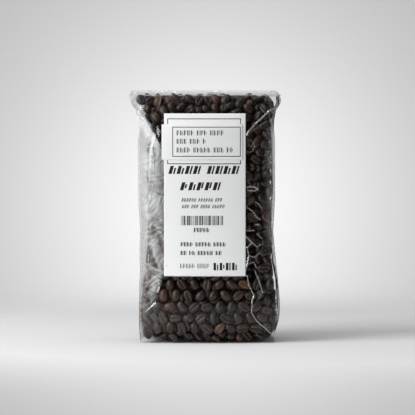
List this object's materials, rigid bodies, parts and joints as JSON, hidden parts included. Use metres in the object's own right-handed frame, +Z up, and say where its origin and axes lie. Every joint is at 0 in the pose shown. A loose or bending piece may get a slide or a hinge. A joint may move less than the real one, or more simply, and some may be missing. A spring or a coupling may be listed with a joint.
{
  "type": "filled coffee bean bag",
  "caption": "Sealed clear gusseted film bag of roasted coffee beans with a paper label and sticker, and folding seal fins on top, base and back.",
  "frame": {"origin": "on the resting plane, under the middle of the bag's bounding box", "axes": "+Z up, -Y out of the labelled front, +X to the right of someone facing the front"},
  "size_m": [0.115, 0.0803, 0.1926],
  "materials": {
    "clear_film": "clear glossy film with soft wrinkles",
    "welded_film": "clear film, two layers welded with crimp ribs",
    "label_paper": null,
    "roasted_bean": "dark brown dry roast, matte with a faint sheen"
  },
  "bodies": {
    "bag": {"address_sticker": "label_paper", "back_panel_left": "clear_film", "back_panel_right": "clear_film", "base_fold": "clear_film", "bean_01": "roasted_bean", "bean_02": "roasted_bean", "bean_03": "roasted_bean", "bean_04": "roasted_bean", "bean_05": "roasted_bean", "bean_06": "roasted_bean", "bean_07": "roasted_bean", "bean_08": "roasted_bean", "bean_09": "roasted_bean", "bean_10": "roasted_bean", "bean_11": "roasted_bean", "bean_12": "roasted_bean", "bean_13": "roasted_bean", "bean_14": "roasted_bean", "bean_15": "roasted_bean", "bean_16": "roasted_bean", "bean_17": "roasted_bean", "bean_18": "roasted_bean", "bean_19": "roasted_bean", "bean_20": "roasted_bean", "bean_21": "roasted_bean", "bean_22": "roasted_bean", "bean_23": "roasted_bean", "bean_24": "roasted_bean", "bean_25": "roasted_bean", "bean_26": "roasted_bean", "bean_27": "roasted_bean", "bean_28": "roasted_bean", "bean_29": "roasted_bean", "bean_30": "roasted_bean", "bean_31": "roasted_bean", "bean_32": "roasted_bean", "bean_33": "roasted_bean", "bean_34": "roasted_bean", "bean_35": "roasted_bean", "bean_36": "roasted_bean", "bean_37": "roasted_bean", "bean_38": "roasted_bean", "bean_39": "roasted_bean", "bean_40": "roasted_bean", "bean_41": "roasted_bean", "bean_42": "roasted_bean", "bean_43": "roasted_bean", "bean_fill": "roasted_bean", "front_panel": "clear_film", "left_gusset": "clear_film", "main_label": "label_paper", "right_gusset": "clear_film", "top_fold": "clear_film"},
    "top_fin": {"top_seal_fin": "welded_film"},
    "back_fin": {"back_seam_fin": "welded_film"},
    "base_fin": {"base_seal_fin": "welded_film"}
  },
  "joints": [
    {"name": "top_fin_fold", "type": "hinge", "parent": "bag", "child": "top_fin", "pos_m": [0, 0, 0.1885], "axis": [1, 0, 0], "range_deg": [0, 165]},
    {"name": "back_fin_fold", "type": "hinge", "parent": "bag", "child": "back_fin", "pos_m": [0, 0.0395, 0.093], "axis": [0, 0, 1], "range_deg": [0, 165]},
    {"name": "base_fin_fold", "type": "hinge", "parent": "bag", "child": "base_fin", "pos_m": [0, 0, 0.003], "axis": [-1, 0, 0], "range_deg": [0, 80]}
  ]
}
